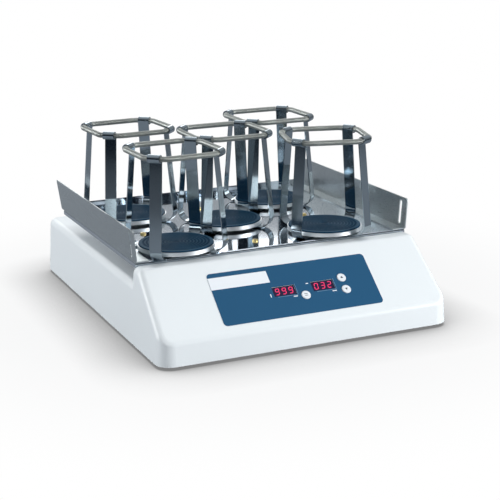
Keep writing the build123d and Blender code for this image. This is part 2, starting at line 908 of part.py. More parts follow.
with BuildPart() as fuse_holder:
    with BuildSketch(panel_face):
        with Locations((fuse_across, 0)):
            Circle(fuse_flange_radius)
    extrude(amount=fitting_flange / 2)
    with BuildSketch(panel_face):
        with Locations((fuse_across, 0)):
            Circle(fuse_cap_radius)
    extrude(amount=fitting_flange)
    with BuildSketch(panel_face):
        with Locations((fuse_across, 0)):
            Circle(fuse_body_radius)
    extrude(amount=-fuse_body_depth)
write(fuse_holder.part, "fuse_holder")

# Platform plate: folded sheet, lip down in front, low upstand at the back
screw_reaches = [
    (-carrier_screw_reach_x, 0),
    (carrier_screw_reach_x, 0),
    (0, -carrier_screw_reach_y),
    (0, carrier_screw_reach_y),
]
platform_screw_spots = [
    (clamp_centre_x + reach_x, clamp_centre_y + reach_y) for reach_x, reach_y in screw_reaches
]
clamp_screw_spots = [(spot_x, spot_y) for spot_x, spot_y, turn in clamp_spots().values()]
platform_middle_y = (platform_front_y + platform_back_y) / 2
with BuildPart() as platform_plate:
    with BuildSketch(Plane.XY.offset(platform_top)):
        with Locations((0, platform_middle_y)):
            Rectangle(platform_width, platform_depth)
    extrude(amount=-lip_depth)
    folds = platform_plate.faces().sort_by(Axis.Z)[-1].edges().sort_by(Axis.Y)[:-1]
    fillet(folds, bend_radius)
    with BuildSketch(Plane.XY.offset(plate_under)):
        with Locations((0, platform_middle_y + sheet)):
            Rectangle(platform_width - 2 * sheet, platform_depth)
    extrude(amount=-lip_depth, mode=Mode.SUBTRACT)
    with BuildSketch(Plane.XZ.offset(-platform_back_y)):
        with Locations((0, (plate_under + platform_top + upstand_height) / 2)):
            Rectangle(platform_width - 2 * sheet - 2 * seat_gap, upstand_height + sheet)
    extrude(amount=sheet)
    with BuildSketch(Plane.XY.offset(platform_top)):
        with Locations(*platform_screw_spots, *clamp_screw_spots):
            Circle(screw_shank_radius + screw_play)
    extrude(amount=-sheet, mode=Mode.SUBTRACT)
write(platform_plate.part, "platform_plate")

# Side guards: upright wall with a slot near its front end, on a foot that lies on the plate
guard_front_y = platform_front_y - guard_overhang_front
guard_back_y = platform_back_y + guard_overhang_back
guard_foot_end = platform_back_y - bend_radius - seat_gap
guard_slot_spot = (guard_front_y + guard_slot_setback, platform_top + guard_slot_rise)
lean_out = guard_height * tan(radians(guard_lean))
for guard_name, side in (("left_guard", -1), ("right_guard", 1)):
    wall_x = side * platform_width / 2
    top_x = wall_x + side * lean_out
    with BuildPart() as guard:
        with BuildSketch(Plane.XZ.offset(-guard_front_y)):
            with BuildLine():
                Polyline(
                    (wall_x, platform_top),
                    (top_x, platform_top + guard_height),
                    (top_x - side * sheet, platform_top + guard_height),
                    (wall_x - side * sheet, platform_top),
                    close=True,
                )
            make_face()
        extrude(amount=guard_front_y - guard_back_y)
        with BuildSketch(Plane.YZ.offset(wall_x)):
            with BuildLine():
                Polyline(
                    (guard_front_y, platform_top),
                    (guard_back_y - guard_back_rake, platform_top),
                    (guard_back_y, platform_top + guard_height),
                    (guard_front_y, platform_top + guard_height),
                    close=True,
                )
            make_face()
            fillet(vertices(), guard_corner_radius)
            with Locations(guard_slot_spot):
                SlotOverall(
                    guard_slot_length, guard_slot_width, rotation=90, mode=Mode.SUBTRACT
                )
        extrude(amount=guard_height, both=True, mode=Mode.INTERSECT)
        with BuildSketch(Plane.XZ.offset(-platform_front_y)):
            with Locations((wall_x - side * guard_foot / 2, platform_top + sheet / 2)):
                Rectangle(guard_foot, sheet)
        extrude(amount=platform_front_y - guard_foot_end)
    write(guard.part, guard_name)

# Carrier: spider casting under the plate
pin_spots = {
    name: (spot_x, spot_y - crank_throw) for name, (spot_x, spot_y) in guide_spots.items()
}
hub_spot = (clamp_centre_x, clamp_centre_y)


def arm(spot, height):
    """Straight arm of the carrier from the hub to a boss."""
    reach_x = spot[0] - clamp_centre_x
    reach_y = spot[1] - clamp_centre_y
    with BuildPart() as bar:
        with BuildSketch(Plane.XY.offset(plate_under)):
            with Locations((clamp_centre_x + reach_x / 2, clamp_centre_y + reach_y / 2)):
                Rectangle(
                    hypot(reach_x, reach_y),
                    carrier_arm_width,
                    rotation=degrees(atan2(reach_y, reach_x)),
                )
        extrude(amount=-height)
    return bar.part


with BuildPart() as platform_carrier:
    with BuildSketch(Plane.XY.offset(carrier_bottom)):
        with Locations(hub_spot):
            Circle(carrier_hub_radius)
        with Locations(*pin_spots.values()):
            Circle(carrier_boss_radius)
    extrude(amount=carrier_height)
    for end in list(pin_spots.values()) + platform_screw_spots:
        add(arm(end, carrier_arm_height))
    with BuildSketch(Plane.XY.offset(plate_under)):
        with Locations(*platform_screw_spots):
            Circle(carrier_screw_boss_radius)
    extrude(amount=-carrier_arm_height)
    with BuildSketch(Plane.XY.offset(carrier_bottom)):
        with Locations(hub_spot):
            Circle(crank_pin_outside)
    extrude(amount=crank_pin_width + seat_gap, mode=Mode.SUBTRACT)
    with BuildSketch(Plane.XY.offset(carrier_bottom)):
        with Locations(*pin_spots.values()):
            Circle(guide_pin_outside)
    extrude(amount=guide_pin_width + seat_gap, mode=Mode.SUBTRACT)
    with BuildSketch(Plane.XY.offset(carrier_bottom)):
        with Locations(hub_spot):
            Circle(crank_pin_radius + 1)
        with Locations(*pin_spots.values()):
            Circle(guide_pin_radius + 1)
    extrude(amount=carrier_height - sheet, mode=Mode.SUBTRACT)
    with BuildSketch(Plane.XY.offset(plate_under)):
        with Locations(*platform_screw_spots):
            Circle(screw_shank_radius)
    extrude(amount=-carrier_arm_height, mode=Mode.SUBTRACT)
write(platform_carrier.part, "platform_carrier")

with BuildPart() as pin_bearings:
    add(bearing(hub_spot, carrier_bottom + seat_gap, crank_pin_bearing))
    for pin_spot in pin_spots.values():
        add(bearing(pin_spot, carrier_bottom + seat_gap, guide_pin_bearing))
write(pin_bearings.part, "pin_bearings")

# Screws of the platform: four into the carrier, one through each clamp
hub_level = platform_top + 2 * strap_thickness
disc_top = hub_level + disc_height
counterbore = screw_head_height + seat_gap
with BuildPart() as platform_screws:
    with BuildSketch(Plane.XY.offset(platform_top)):
        with Locations(*platform_screw_spots):
            Circle(screw_head_radius)
    extrude(amount=screw_head_height)
    with BuildSketch(Plane.XY.offset(platform_top)):
        with Locations(*platform_screw_spots):
            Circle(screw_shank_radius)
    extrude(amount=-screw_length)
    with BuildSketch(Plane.XY.offset(disc_top - counterbore)):
        with Locations(*clamp_screw_spots):
            Circle(screw_head_radius)
    extrude(amount=screw_head_height)
    with BuildSketch(Plane.XY.offset(disc_top - counterbore)):
        with Locations(*clamp_screw_spots):
            Circle(screw_shank_radius)
    extrude(amount=counterbore + plate_under - disc_top)
write(platform_screws.part, "platform_screws")

# Flask clamps
curl_radius = (curl_diameter - strap_thickness) / 2
curl_level = platform_top + ring_height


def strap(base):
    """Spring strap on edge: flat under the disc, two legs up, each rolled outward at its top."""
    line_level = base + strap_thickness / 2
    across = ring_circle_radius - leg_circle_radius
    rise = curl_level - line_level
    reach = hypot(across, rise)
    lean = atan2(rise, across) + asin(curl_radius / reach)
    run = sqrt(reach**2 - curl_radius**2)
    touch_x = leg_circle_radius + run * cos(lean)
    touch_z = line_level + run * sin(lean)
    start = degrees(atan2(touch_z - curl_level, touch_x - ring_circle_radius))
    with BuildPart() as piece:
        with BuildSketch(Plane.XZ):
            with BuildLine():
                FilletPolyline(
                    (0, line_level),
                    (leg_circle_radius, line_level),
                    (touch_x, touch_z),
                    radius=strap_bend_radius,
                )
                CenterArc((ring_circle_radius, curl_level), curl_radius, start, -curl_turn)
            trace(line_width=strap_thickness)
            mirror(about=Plane.YZ)
        extrude(amount=strap_width / 2, both=True)
        with BuildSketch(Plane.XY.offset(base)):
            Circle(screw_shank_radius + screw_play)
        extrude(amount=strap_thickness, mode=Mode.SUBTRACT)
    return piece.part


def ring_path(radius):
    """Line of the spring ring: straight through each curl, straight runs between, rounded turns."""
    half_straight = strap_width / 2 + ring_corner_radius * tan(radians(22.5))
    points = []
    for quarter in range(4):
        angle = radians(45 + 90 * quarter)
        for step in (-half_straight, half_straight):
            points.append(
                (
                    radius * cos(angle) - step * sin(angle),
                    radius * sin(angle) + step * cos(angle),
                    curl_level,
                )
            )
    return points


ring_line_radius = ring_circle_radius - (curl_radius - strap_thickness / 2) + ring_wire_diameter / 2
ring_line_radius += seat_gap
lower_strap = strap(platform_top)
upper_strap = strap(platform_top + strap_thickness)
with BuildPart() as ring:
    with BuildLine() as ring_line:
        FilletPolyline(*ring_path(ring_line_radius), radius=ring_corner_radius, close=True)
    ring_wire = ring_line.wire()
    with BuildSketch(Plane(origin=ring_wire @ 0, z_dir=ring_wire % 0)):
        Circle(ring_wire_diameter / 2)
    sweep(path=ring_wire)

with BuildPart() as disc:
    with BuildSketch(Plane.XY.offset(disc_top)):
        Circle(disc_radius)
    extrude(amount=-disc_height + 2 * seat_gap)
    with BuildSketch(Plane.XY.offset(disc_top - disc_sheet)):
        Circle(disc_radius - disc_sheet)
    extrude(amount=-disc_height, mode=Mode.SUBTRACT)
    with BuildSketch(Plane.XY.offset(hub_level)):
        Circle(disc_hub_radius)
    extrude(amount=disc_height)
    with BuildSketch(Plane.XY.offset(disc_top)):
        Circle(screw_head_radius + screw_play)
    extrude(amount=-counterbore, mode=Mode.SUBTRACT)
    with BuildSketch(Plane.XY.offset(disc_top)):
        Circle(screw_shank_radius + screw_play)
    extrude(amount=-disc_height, mode=Mode.SUBTRACT)

with BuildPart() as pad:
    with BuildSketch(Plane.XY.offset(disc_top)):
        Circle(disc_radius - pad_margin)
    extrude(amount=pad_thickness)
    chamfer(pad.edges().sort_by(Axis.Z)[-1], pad_edge)

for clamp_name, (spot_x, spot_y, turn) in clamp_spots().items():
    place = Location((spot_x, spot_y, 0), (0, 0, turn))
    legs = Compound(children=[
        lower_strap.moved(place * Location((0, 0, 0), (0, 0, 45))),
        upper_strap.moved(place * Location((0, 0, 0), (0, 0, -45))),
    ])
    write(legs, f"clamp_{clamp_name}_legs")
    write(ring.part.moved(place), f"clamp_{clamp_name}_ring")
    write(disc.part.moved(place), f"clamp_{clamp_name}_disc")
    write(pad.part.moved(place), f"clamp_{clamp_name}_pad")
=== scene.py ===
# %% [markdown]
# The imported model of the orbital shaker comes in first. Every piece is already at its real size and
# place, in metres, so nothing is fitted by eye. The dressed model has to stay inside it.

# %% Load the model
import math
import bpy
from mathutils import Matrix, Vector


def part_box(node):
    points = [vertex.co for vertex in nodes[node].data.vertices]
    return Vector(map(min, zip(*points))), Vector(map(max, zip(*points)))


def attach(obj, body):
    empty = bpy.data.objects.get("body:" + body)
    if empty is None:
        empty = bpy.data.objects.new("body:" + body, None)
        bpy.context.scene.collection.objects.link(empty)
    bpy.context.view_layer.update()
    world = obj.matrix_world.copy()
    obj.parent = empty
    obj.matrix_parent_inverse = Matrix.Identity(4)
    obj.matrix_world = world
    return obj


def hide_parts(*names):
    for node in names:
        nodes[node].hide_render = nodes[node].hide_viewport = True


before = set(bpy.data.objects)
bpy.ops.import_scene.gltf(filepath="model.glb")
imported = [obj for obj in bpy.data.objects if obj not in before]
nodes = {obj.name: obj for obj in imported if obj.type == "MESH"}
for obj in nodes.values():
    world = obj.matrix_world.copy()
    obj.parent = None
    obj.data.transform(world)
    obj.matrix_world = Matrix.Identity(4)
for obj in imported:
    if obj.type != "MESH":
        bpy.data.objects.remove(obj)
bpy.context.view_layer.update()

# %% [markdown]
# The camera stands where the photographer stood: in front, to the left and a little above, with a long
# lens. A camera could be aimed with a Track To constraint, but its axes are written out here, because
# the picture also has a small roll.

# %% Camera
MM = 0.001
CAMERA_PLACE = (-0.6810, -1.5927, 0.5419)
FOCAL_PIXELS = 1297.2
PHOTO_PIXELS = 500
SENSOR = 36
heading, dip, roll = (math.radians(a) for a in (23.946, 15.394, -0.69))
look = Vector((math.sin(heading) * math.cos(dip), math.cos(heading) * math.cos(dip), -math.sin(dip)))
level_right = Vector((math.cos(heading), -math.sin(heading), 0))
level_up = level_right.cross(look)
right = level_right * math.cos(roll) + level_up * math.sin(roll)
up = right.cross(look)
camera = bpy.data.objects.new("camera", bpy.data.cameras.new("camera"))
bpy.context.scene.collection.objects.link(camera)
camera.matrix_world = Matrix.Translation(CAMERA_PLACE) @ Matrix(
    (right, up, -look)).transposed().to_4x4()
camera.data.sensor_fit = "HORIZONTAL"
camera.data.sensor_width = SENSOR
camera.data.lens = SENSOR * FOCAL_PIXELS / PHOTO_PIXELS
bpy.context.scene.camera = camera
print("lens", round(camera.data.lens, 1), "mm")

# %% [markdown]
# The studio is bright above and behind the object, and dark low down and behind the photographer.
# Polished steel shows little but its surroundings, so this split draws the dark and bright bands on the
# upright straps. A picture of a room could do this, but a gradient by direction is enough: the dot
# product of a ray with the brightest direction runs through a colour ramp. The camera itself sees
# plain white.

# %% World
BRIGHTEST = (0.12, 0.42, 0.90)
DARK_ROOM = (0.012, 0.022, 0.036, 1)
BRIGHT_ROOM = (0.88, 0.92, 0.96, 1)
ROOM_STRENGTH = 0.62
scene = bpy.context.scene
scene.view_settings.view_transform = "Standard"
studio = bpy.data.worlds.new("studio")
scene.world = studio
studio.use_nodes = True
wt = studio.node_tree
wt.nodes.clear()
out = wt.nodes.new("ShaderNodeOutputWorld")
direction = wt.nodes.new("ShaderNodeTexCoord")
turn = wt.nodes.new("ShaderNodeVectorMath")
turn.operation = "DOT_PRODUCT"
turn.inputs[1].default_value = BRIGHTEST
ramp = wt.nodes.new("ShaderNodeValToRGB")
ramp.color_ramp.elements[0].position = 0.52
ramp.color_ramp.elements[0].color = DARK_ROOM
ramp.color_ramp.elements[1].position = 0.95
ramp.color_ramp.elements[1].color = BRIGHT_ROOM
shift = wt.nodes.new("ShaderNodeMath")
shift.operation = "MULTIPLY_ADD"
shift.inputs[1].default_value = 0.5
shift.inputs[2].default_value = 0.5
around = wt.nodes.new("ShaderNodeBackground")
around.inputs["Strength"].default_value = ROOM_STRENGTH
plain = wt.nodes.new("ShaderNodeBackground")
plain.inputs["Color"].default_value = (1, 1, 1, 1)
rays = wt.nodes.new("ShaderNodeLightPath")
either = wt.nodes.new("ShaderNodeMixShader")
wt.links.new(direction.outputs["Generated"], turn.inputs[0])
wt.links.new(turn.outputs["Value"], shift.inputs[0])
wt.links.new(shift.outputs[0], ramp.inputs["Fac"])
wt.links.new(ramp.outputs["Color"], around.inputs["Color"])
wt.links.new(rays.outputs["Is Camera Ray"], either.inputs["Fac"])
wt.links.new(around.outputs[0], either.inputs[1])
wt.links.new(plain.outputs[0], either.inputs[2])
wt.links.new(either.outputs[0], out.inputs["Surface"])
print("room strength", ROOM_STRENGTH)

# %% [markdown]
# The main soft lamp stands in front and to the right, so that the slope is bright and the left side of
# the housing a step darker. A weak one fills the front corner, others stand above, behind and at the
# left. Area lamps give the soft shadow that a photographer's softbox gives.

# %% Lamps
def softbox(name, place, aim, size, power, colour=(1, 1, 1)):
    """Area lamp at a place, aimed at a point."""
    lamp = bpy.data.lights.new(name, "AREA")
    lamp.shape = "RECTANGLE"
    lamp.size, lamp.size_y = size
    lamp.energy = power
    lamp.color = colour
    holder = bpy.data.objects.new(name, lamp)
    scene.collection.objects.link(holder)
    holder.location = place
    holder.rotation_euler = (Vector(aim) - Vector(place)).to_track_quat("-Z", "Y").to_euler()
    return holder

softbox("top_softbox", (0.35, -0.15, 1.7), (0, 0, 0.1), (1.3, 1.0), 5)
softbox("front_softbox", (2.0, -1.9, 0.5), (0, -0.1, 0.08), (0.9, 0.9), 70)
softbox("left_softbox", (-1.8, 0.7, 0.7), (0, 0, 0.05), (1.2, 0.8), 22)
softbox("corner_softbox", (-1.3, -1.8, 0.8), (0, -0.1, 0.05), (1.3, 0.9), 12)
softbox("back_softbox", (0.3, 1.8, 1.1), (0, 0, 0.15), (1.6, 0.9), 12)
print("lamps", 5)

# %% [markdown]
# The floor is a plain pale sheet. Its material is part diffuse, which takes the shadow, and part light
# that only the camera sees. That second share grows with the distance from the middle, so the floor
# runs into the white of the background. Near the object an Ambient Occlusion node takes light away
# where things stand close, which deepens the soft shadow along the housing's foot.

# %% Floor
FLOOR_HALF = 6
FLOOR_COLOUR = (0.30, 0.32, 0.35, 1)
CONTACT_REACH = 0.09
DEEPEST = 0.22
floor_mesh = bpy.data.meshes.new("floor")
floor_corners = [(x * FLOOR_HALF, y * FLOOR_HALF, 0) for x, y in ((-1, -1), (1, -1), (1, 1), (-1, 1))]
floor_mesh.from_pydata(floor_corners, [], [(0, 1, 2, 3)])
floor = bpy.data.objects.new("floor", floor_mesh)
scene.collection.objects.link(floor)
sheet = bpy.data.materials.new("pale_floor")
sheet.use_nodes = True
ft = sheet.node_tree
ft.nodes.clear()
f_out = ft.nodes.new("ShaderNodeOutputMaterial")
f_diffuse = ft.nodes.new("ShaderNodeBsdfDiffuse")
f_diffuse.inputs["Color"].default_value = FLOOR_COLOUR
f_glow = ft.nodes.new("ShaderNodeEmission")
f_near = ft.nodes.new("ShaderNodeAmbientOcclusion")
f_near.inputs["Distance"].default_value = CONTACT_REACH
f_near.samples = 16
f_open = ft.nodes.new("ShaderNodeMapRange")
f_open.inputs["From Min"].default_value = 0.35
f_open.inputs["To Min"].default_value = DEEPEST
ft.links.new(f_near.outputs["AO"], f_open.inputs["Value"])
ft.links.new(f_open.outputs["Result"], f_glow.inputs["Strength"])
f_rays = ft.nodes.new("ShaderNodeLightPath")
f_where = ft.nodes.new("ShaderNodeTexCoord")
f_reach = ft.nodes.new("ShaderNodeVectorMath")
f_reach.operation = "LENGTH"
f_fade = ft.nodes.new("ShaderNodeMapRange")
f_fade.interpolation_type = "SMOOTHSTEP"
for socket, value in (("From Min", 0.22), ("From Max", 0.62), ("To Min", 0.90), ("To Max", 1.0)):
    f_fade.inputs[socket].default_value = value
f_share = ft.nodes.new("ShaderNodeMath")
f_share.operation = "MULTIPLY"
ft.links.new(f_where.outputs["Object"], f_reach.inputs[0])
ft.links.new(f_reach.outputs["Value"], f_fade.inputs["Value"])
ft.links.new(f_fade.outputs["Result"], f_share.inputs[1])
f_mix = ft.nodes.new("ShaderNodeMixShader")
ft.links.new(f_rays.outputs["Is Camera Ray"], f_share.inputs[0])
ft.links.new(f_share.outputs[0], f_mix.inputs["Fac"])
ft.links.new(f_diffuse.outputs[0], f_mix.inputs[1])
ft.links.new(f_glow.outputs[0], f_mix.inputs[2])
ft.links.new(f_mix.outputs[0], f_out.inputs["Surface"])
floor_mesh.materials.append(sheet)
print("floor", floor.name)

# %% [markdown]
# All finishes share one recipe: a Principled shader whose colour and roughness drift a little with
# noise, and a fine bump. The uniform values sit on the shader's own sockets. A stretched noise gives
# the lines of rolled or brushed metal.

# %% Finish recipe
def finish(name, colour, metal=0.0, rough=0.4, drift=0.04, rough_drift=0.06, grain=400.0, bump=0.05,
           stretch=(1, 1, 1), coat=0.0, specular=0.5):
    """Material with drifting colour and roughness and a fine grain."""
    made = bpy.data.materials.new(name)
    made.use_nodes = True
    tree = made.node_tree
    shader = tree.nodes["Principled BSDF"]
    shader.inputs["Metallic"].default_value = metal
    shader.inputs["Coat Weight"].default_value = coat
    shader.inputs["Coat Roughness"].default_value = 0.08
    shader.inputs["Specular IOR Level"].default_value = specular
    where = tree.nodes.new("ShaderNodeTexCoord")
    mapping = tree.nodes.new("ShaderNodeMapping")
    mapping.inputs["Scale"].default_value = stretch
    wide = tree.nodes.new("ShaderNodeTexNoise")
    wide.inputs["Scale"].default_value = 14
    fine = tree.nodes.new("ShaderNodeTexNoise")
    fine.inputs["Scale"].default_value = grain
    fine.inputs["Detail"].default_value = 3
    tint = tree.nodes.new("ShaderNodeMapRange")
    tint.inputs["To Min"].default_value = 1 - drift
    tint.inputs["To Max"].default_value = 1 + drift
    shade = tree.nodes.new("ShaderNodeMix")
    shade.data_type = "RGBA"
    shade.blend_type = "MULTIPLY"
    shade.inputs["Factor"].default_value = 1
    shade.inputs["A"].default_value = (*colour, 1)
    gloss = tree.nodes.new("ShaderNodeMapRange")
    gloss.inputs["To Min"].default_value = max(0.01, rough - rough_drift)
    gloss.inputs["To Max"].default_value = rough + rough_drift
    relief = tree.nodes.new("ShaderNodeBump")
    relief.inputs["Strength"].default_value = bump
    relief.inputs["Distance"].default_value = 0.0004
    link = tree.links.new
    link(where.outputs["Object"], mapping.inputs["Vector"])
    link(where.outputs["Object"], wide.inputs["Vector"])
    link(mapping.outputs["Vector"], fine.inputs["Vector"])
    link(wide.outputs["Fac"], tint.inputs["Value"])
    link(tint.outputs["Result"], shade.inputs["B"])
    link(shade.outputs["Result"], shader.inputs["Base Color"])
    link(fine.outputs["Fac"], gloss.inputs["Value"])
    link(gloss.outputs["Result"], shader.inputs["Roughness"])
    link(fine.outputs["Fac"], relief.inputs["Height"])
    link(relief.outputs["Normal"], shader.inputs["Normal"])
    return made

# %% [markdown]
# Each finish is named for what it is on the real object, but two carry painted light: the pads' paler
# crests are a painted highlight, and the dark plate on the fuse cap is the painted shade of its slot. The
# numbers are linear colours.

# %% Finishes
housing_white = finish("housing_white", (0.785, 0.83, 0.85), rough=0.36, drift=0.012, grain=900,
                       bump=0.03)
label_blue = finish("label_blue", (0.016, 0.088, 0.185), rough=0.50, drift=0.03, grain=1400, bump=0.02,
                    specular=0.12)
label_white = finish("label_white", (0.80, 0.84, 0.88), rough=0.35, drift=0.01, grain=1400, bump=0.02)
label_line = finish("label_line", (0.22, 0.36, 0.50), rough=0.35, grain=1400, bump=0.02)
window_dark = finish("window_dark", (0.016, 0.008, 0.040), rough=0.30, grain=900, bump=0.0, specular=0.15)
cap_white = finish("cap_white", (0.76, 0.80, 0.84), rough=0.38, drift=0.02, grain=1200, bump=0.03)
# Dark ink of the caps' signs, also used as the painted shade of the fuse cap's slot.
sign_ink_and_slot_shade = finish("sign_ink_and_slot_shade", (0.02, 0.03, 0.05), rough=0.45, grain=1200, bump=0.02)
plate_steel = finish("plate_steel", (0.60, 0.65, 0.70), metal=1, rough=0.07, rough_drift=0.03, drift=0.02,
                     grain=160, bump=0.004, stretch=(1, 14, 14))
guard_steel = finish("guard_steel", (0.47, 0.51, 0.52), metal=1, rough=0.28, rough_drift=0.03, drift=0.02,
                     grain=220, bump=0.006, stretch=(14, 1, 14))
strap_steel = finish("strap_steel", (0.36, 0.42, 0.46), metal=1, rough=0.08, rough_drift=0.05, drift=0.05,
                     grain=260, bump=0.03, stretch=(14, 14, 1))
coil_steel = finish("coil_steel", (0.42, 0.44, 0.42), metal=1, rough=0.40, drift=0.05, grain=900,
                    bump=0.02)
disc_steel = finish("disc_steel", (0.80, 0.83, 0.85), metal=1, rough=0.42, rough_drift=0.05, drift=0.02,
                    grain=300, bump=0.015)
pad_rubber = finish("pad_rubber", (0.006, 0.032, 0.065), rough=0.60, drift=0.10, grain=700, bump=0.10,
                    specular=0.03)
# Paler rubber for the rim's top and the ribs' crests: a painted highlight, not a colour of the rubber.
painted_crest_highlight = finish("painted_crest_highlight", (0.018, 0.064, 0.115), rough=0.50, drift=0.10, grain=700, bump=0.05,
                   specular=0.06)
foot_rubber = finish("foot_rubber", (0.02, 0.02, 0.022), rough=0.62, grain=600, bump=0.2)
yellow_zinc = finish("yellow_zinc", (0.58, 0.46, 0.20), metal=1, rough=0.30, drift=0.16, grain=500)
zinc = finish("zinc", (0.52, 0.54, 0.56), metal=1, rough=0.32, drift=0.10, grain=500)
plated_sheet = finish("plated_sheet", (0.44, 0.46, 0.48), metal=1, rough=0.38, drift=0.10, grain=60,
                      bump=0.03)
frame_paint = finish("frame_paint", (0.055, 0.06, 0.066), rough=0.42, grain=500, bump=0.12)
milled = finish("milled", (0.56, 0.57, 0.58), metal=1, rough=0.28, grain=420, bump=0.06,
                stretch=(1, 1, 20))
cast_alloy = finish("cast_alloy", (0.46, 0.47, 0.48), metal=1, rough=0.48, grain=320, bump=0.35)
cast_iron = finish("cast_iron", (0.10, 0.10, 0.105), metal=1, rough=0.52, grain=260, bump=0.4)
ground_steel = finish("ground_steel", (0.54, 0.56, 0.58), metal=1, rough=0.16, grain=500,
                      stretch=(1, 1, 16))
motor_black = finish("motor_black", (0.028, 0.028, 0.031), rough=0.36, grain=600, bump=0.1)
belt_black = finish("belt_black", (0.018, 0.018, 0.019), rough=0.7, grain=900, bump=0.25)
board_green = finish("board_green", (0.012, 0.12, 0.05), rough=0.35, grain=700, bump=0.05, coat=0.2)
black_plastic = finish("black_plastic", (0.02, 0.02, 0.022), rough=0.42, grain=1000, bump=0.12)

lit = bpy.data.materials.new("lit_segments")
lit.use_nodes = True
lit_shader = lit.node_tree.nodes["Principled BSDF"]
lit_shader.inputs["Base Color"].default_value = (0.55, 0.02, 0.09, 1)
lit_shader.inputs["Emission Color"].default_value = (0.78, 0.030, 0.13, 1)
lit_shader.inputs["Emission Strength"].default_value = 0.75
print("finishes", len(bpy.data.materials))

# %% [markdown]
# The model's nodes get their finishes through their material slots. Names that share an ending, such as
# the five clamps' straps, are matched by it.

# %% Dress the nodes
FINISHES = {
    "housing_shell": housing_white, "base_plate": plated_sheet, "rubber_feet": foot_rubber,
    "base_screws": zinc, "control_label": label_blue, "speed_display": window_dark,
    "time_display": window_dark, "control_board": board_green, "set_button": cap_white,
    "up_button": cap_white, "down_button": cap_white, "drive_frame": frame_paint,
    "main_bearing_housing": milled, "guide_bearing_housings": milled, "shaft_bearings": ground_steel,
    "frame_screws": zinc, "motor": motor_black, "motor_bracket": plated_sheet, "motor_pulley": milled,
    "drive_belt": belt_black, "driven_pulley": milled, "drive_shaft": ground_steel,
    "counterweight": cast_iron, "power_supply": plated_sheet, "rear_panel": plated_sheet,
    "power_inlet": black_plastic, "switch_frame": black_plastic, "power_rocker": black_plastic,
    "fuse_holder": black_plastic, "platform_plate": plate_steel, "platform_carrier": cast_alloy,
    "pin_bearings": ground_steel, "left_guard": guard_steel, "right_guard": guard_steel,
    "platform_screws": yellow_zinc,
}
ENDINGS = {"_legs": strap_steel, "_disc": disc_steel, "_pad": pad_rubber, "_ring": coil_steel}
for name, node in nodes.items():
    chosen = FINISHES.get(name) or next((m for e, m in ENDINGS.items() if name.endswith(e)), ground_steel)
    node.data.materials.clear()
    node.data.materials.append(chosen)
print("dressed", len(nodes))

# %% [markdown]
# New pieces are meshes written straight in the model's frame. This helper links one, rides it on its
# body and gives it a finish.

# %% Add a piece
def add_piece(name, verts, faces, material, body, smooth=True):
    """Mesh piece in metres that rides on a body."""
    mesh = bpy.data.meshes.new(name)
    mesh.from_pydata([tuple(v) for v in verts], [], faces)
    mesh.update()
    mesh.polygons.foreach_set("use_smooth", [smooth] * len(mesh.polygons))
    mesh.materials.append(material)
    piece = bpy.data.objects.new(name, mesh)
    scene.collection.objects.link(piece)
    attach(piece, body)
    return piece


def turned(profile, centre, segments=96, close=True):
    """Vertices and faces of a profile of (radius, height) turned about an upright axis, in mm."""
    verts, faces = [], []
    cx, cy = centre
    for radius, height in profile:
        for k in range(segments):
            a = 2 * math.pi * k / segments
            verts.append(((cx + radius * math.cos(a)) * MM, (cy + radius * math.sin(a)) * MM,
                          height * MM))
    for i in range(len(profile) - 1):
        for k in range(segments):
            k2 = (k + 1) % segments
            faces.append((i * segments + k, i * segments + k2,
                          (i + 1) * segments + k2, (i + 1) * segments + k))
    if close:
        faces.append(tuple(range(segments))[::-1])
        faces.append(tuple((len(profile) - 1) * segments + k for k in range(segments)))
    return verts, faces

# %% [markdown]
# Five clamps stand on the plate: four at the corners of a rectangle and one in its middle. The front
# right one is turned by 15 degrees, and two others a touch, as in the photograph. Their middles come
# from the pad nodes, so they can't drift from the model.

# %% Clamp places
PLATE_TOP = 106.5
CLAMPS = {}
for spot in ("front_left", "front_right", "centre", "back_left", "back_right"):
    low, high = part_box(f"clamp_{spot}_pad")
    CLAMPS[spot] = ((low.x + high.x) / 2 / MM, (low.y + high.y) / 2 / MM, low.z / MM, high.z / MM)
TURN = {"front_left": math.radians(2), "front_right": math.radians(-15),
        "back_left": math.radians(3)}
print({k: [round(v, 1) for v in c] for k, c in CLAMPS.items()})

# %% [markdown]
# A flask stands on a rubber pad with a rounded rim and round ribs. They could be a bump in the material,
# but the low camera looks along them, so they are real: a stepped profile turned about the pad's axis.
# The top of the rim and the ribs' crests take a second, paler material: a painted highlight, the light
# they catch painted into their colour.

# %% Ribbed pads
PAD_RADIUS = 48.1
RIM = 5.5
RIB_PITCH = 4.2
RIB_DEPTH = 0.55
PAD_SEGMENTS = 112


def ribbed_profile(low, high):
    """Profile of a pad as (radius, height), and the steps of it that are ribs' crests."""
    floor_height = high - RIB_DEPTH
    profile = [(0.01, low), (PAD_RADIUS, low), (PAD_RADIUS, high - 0.9), (PAD_RADIUS - 0.4, high - 0.2),
               (PAD_RADIUS - 1.2, high), (PAD_RADIUS - RIM + 0.6, high), (PAD_RADIUS - RIM, floor_height)]
    crests = [3, 4]
    r = PAD_RADIUS - RIM - 2.2
    while r > 4:
        crests.append(len(profile) + 1)
        profile += [(r, floor_height), (r - 0.3, high - 0.1), (r - 1.6, high - 0.1),
                    (r - 1.9, floor_height)]
        r -= RIB_PITCH
    profile.append((0.01, floor_height))
    return profile, crests


